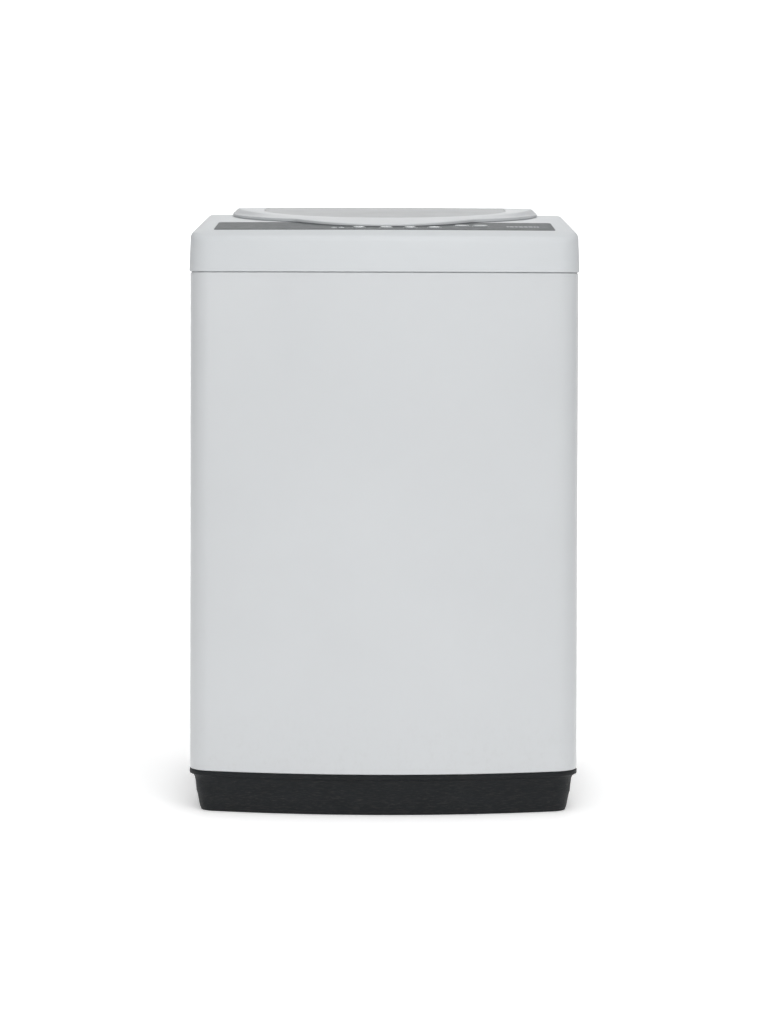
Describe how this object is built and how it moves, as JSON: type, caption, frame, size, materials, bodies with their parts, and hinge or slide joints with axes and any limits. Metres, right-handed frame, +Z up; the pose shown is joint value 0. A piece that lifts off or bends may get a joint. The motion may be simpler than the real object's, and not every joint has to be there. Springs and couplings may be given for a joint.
{
  "type": "top load washing machine",
  "caption": "Top load washing machine: bowed cabinet, lift-up lid with oval window, push-button panel, detergent drawer, sprung tub with spin basket, pulsator and belt drive.",
  "frame": {"origin": "centre of the footprint, on the floor under the feet", "axes": "+Z up, front (control panel side) faces -Y, +X to the right seen from the front"},
  "size_m": [0.52, 0.53, 0.8141],
  "materials": {
    "white_steel": "satin white enamel",
    "back_steel": "satin grey-white enamel",
    "screw_zinc": "zinc plated",
    "base_plastic": "fine textured black",
    "foot_rubber": "matte black",
    "cover_plastic": "semi-gloss white",
    "panel_film": "satin silver-grey film",
    "lamp_red": "clear lens",
    "board_green": "potted board",
    "valve_plastic": "natural nylon",
    "tub_plastic": "natural polypropylene",
    "hose_rubber": "matte",
    "black_plastic": "matte black",
    "pin_chrome": "plated",
    "rod_steel": "drawn steel",
    "gland_rubber": "matte black",
    "lid_plastic": "semi-gloss white",
    "lid_glass": "smoked clear plastic",
    "magnet_dark": "ferrite",
    "button_plastic": "satin silver",
    "drawer_plastic": "translucent blue-white",
    "zinc_plate": "galvanised",
    "cast_aluminium": "as cast",
    "motor_paint": "dark enamel",
    "belt_rubber": "matte black",
    "spring_steel": "oil-hardened",
    "basket_steel": "stainless, satin",
    "basket_plastic": "white polypropylene",
    "ring_plastic": "white polypropylene",
    "filter_plastic": "blue-grey",
    "pulsator_plastic": "pale blue"
  },
  "bodies": {
    "cabinet": {"cabinet": "white_steel", "back_panel": "back_steel", "back_panel_screws": "screw_zinc", "base": "base_plastic", "rear_feet": "foot_rubber", "top_cover": "cover_plastic", "cover_screws": "screw_zinc", "control_panel": "panel_film", "indicator_lights": "lamp_red", "control_board": "board_green", "inlet_valve": "valve_plastic", "dispenser_housing": "tub_plastic", "inlet_hose": "hose_rubber", "pressure_switch": "black_plastic", "pressure_hose": "hose_rubber", "lid_switch": "valve_plastic", "hinge_pins": "pin_chrome", "suspension_seats": "valve_plastic", "suspension_rods": "rod_steel", "suspension_cups": "valve_plastic", "cord_gland": "gland_rubber", "drain_outlet": "black_plastic", "drain_hose": "hose_rubber", "motor_capacitor": "black_plastic"},
    "lid": {"lid_frame": "lid_plastic", "lid_window": "lid_glass", "lid_bumpers": "gland_rubber", "lid_magnet": "magnet_dark"},
    "button_1": {"button_1": "button_plastic"},
    "button_2": {"button_2": "button_plastic"},
    "button_3": {"button_3": "button_plastic"},
    "button_4": {"button_4": "button_plastic"},
    "button_5": {"button_5": "button_plastic"},
    "button_6": {"button_6": "button_plastic"},
    "detergent_drawer": {"detergent_drawer": "drawer_plastic"},
    "front_left_foot": {"front_left_foot": "foot_rubber", "front_left_locknut": "screw_zinc"},
    "front_right_foot": {"front_right_foot": "foot_rubber", "front_right_locknut": "screw_zinc"},
    "suspended_tub": {"outer_tub": "tub_plastic", "tub_ring": "tub_plastic", "mounting_plate": "zinc_plate", "gearbox": "cast_aluminium", "motor": "motor_paint", "drive_belt": "belt_rubber", "drain_valve": "valve_plastic", "valve_actuator": "black_plastic", "suspension_springs": "spring_steel"},
    "drive_pulley": {"drive_pulley": "cast_aluminium"},
    "motor_pulley": {"motor_pulley": "cast_aluminium"},
    "basket": {"basket": "basket_steel", "basket_base": "basket_plastic", "balance_ring": "ring_plastic", "spin_tube": "rod_steel", "filter_holder": "basket_plastic"},
    "lint_filter": {"lint_filter": "filter_plastic"},
    "pulsator": {"pulsator": "pulsator_plastic", "pulsator_shaft": "rod_steel", "pulsator_screw": "pin_chrome"}
  },
  "joints": [
    {"name": "lid_hinge", "type": "hinge", "parent": "cabinet", "child": "lid", "pos_m": [0, 0.206, 0.794], "axis": [-1, 0, 0], "range_deg": [0, 95]},
    {"name": "button_1_press", "type": "slide", "parent": "cabinet", "child": "button_1", "axis": [0.0066, 0.1501, -0.9886], "range_m": [0, 0.0012], "stiffness_N_per_m": 900, "springref_m": -0.0002},
    {"name": "button_2_press", "type": "slide", "parent": "cabinet", "child": "button_2", "axis": [-0.0004, 0.1503, -0.9886], "range_m": [0, 0.0012], "stiffness_N_per_m": 900, "springref_m": -0.0002},
    {"name": "button_3_press", "type": "slide", "parent": "cabinet", "child": "button_3", "axis": [-0.0066, 0.1501, -0.9886], "range_m": [0, 0.0012], "stiffness_N_per_m": 900, "springref_m": -0.0002},
    {"name": "button_4_press", "type": "slide", "parent": "cabinet", "child": "button_4", "axis": [-0.0128, 0.1497, -0.9886], "range_m": [0, 0.0012], "stiffness_N_per_m": 900, "springref_m": -0.0002},
    {"name": "button_5_press", "type": "slide", "parent": "cabinet", "child": "button_5", "axis": [-0.0204, 0.1489, -0.9886], "range_m": [0, 0.0012], "stiffness_N_per_m": 900, "springref_m": -0.0002},
    {"name": "button_6_press", "type": "slide", "parent": "cabinet", "child": "button_6", "axis": [-0.0253, 0.1481, -0.9886], "range_m": [0, 0.0012], "stiffness_N_per_m": 900, "springref_m": -0.0002},
    {"name": "drawer_slide", "type": "slide", "parent": "cabinet", "child": "detergent_drawer", "axis": [0, -1, 0], "range_m": [0, 0.055]},
    {"name": "front_left_foot_adjust", "type": "slide", "parent": "cabinet", "child": "front_left_foot", "axis": [0, 0, -1], "range_m": [0, 0.01]},
    {"name": "front_right_foot_adjust", "type": "slide", "parent": "cabinet", "child": "front_right_foot", "axis": [0, 0, -1], "range_m": [0, 0.01]},
    {"name": "tub_bounce", "type": "slide", "parent": "cabinet", "child": "suspended_tub", "axis": [0, 0, 1], "range_m": [-0.015, 0.006], "stiffness_N_per_m": 8000, "springref_m": 0.02915, "deforming": ["suspension_springs", "pressure_hose", "drain_hose"]},
    {"name": "basket_spin", "type": "hinge", "parent": "suspended_tub", "child": "basket", "pos_m": [0, 0, 0.4], "axis": [0, 0, 1], "continuous": true},
    {"name": "lint_filter_pull", "type": "slide", "parent": "basket", "child": "lint_filter", "axis": [0, -1, 0], "range_m": [0, 0.03]},
    {"name": "pulsator_spin", "type": "hinge", "parent": "basket", "child": "pulsator", "pos_m": [0, 0, 0.25], "axis": [0, 0, 1], "continuous": true},
    {"name": "drive_pulley_spin", "type": "hinge", "parent": "suspended_tub", "child": "drive_pulley", "pos_m": [0, 0, 0.09], "axis": [0, 0, 1], "continuous": true},
    {"name": "motor_pulley_spin", "type": "hinge", "parent": "suspended_tub", "child": "motor_pulley", "pos_m": [-0.118, -0.034, 0.09], "axis": [0, 0, 1], "continuous": true}
  ],
  "couplings": [
    {"joint": "drive_pulley_spin", "follows": "pulsator_spin", "ratio": 4},
    {"joint": "motor_pulley_spin", "follows": "pulsator_spin", "ratio": 12}
  ]
}
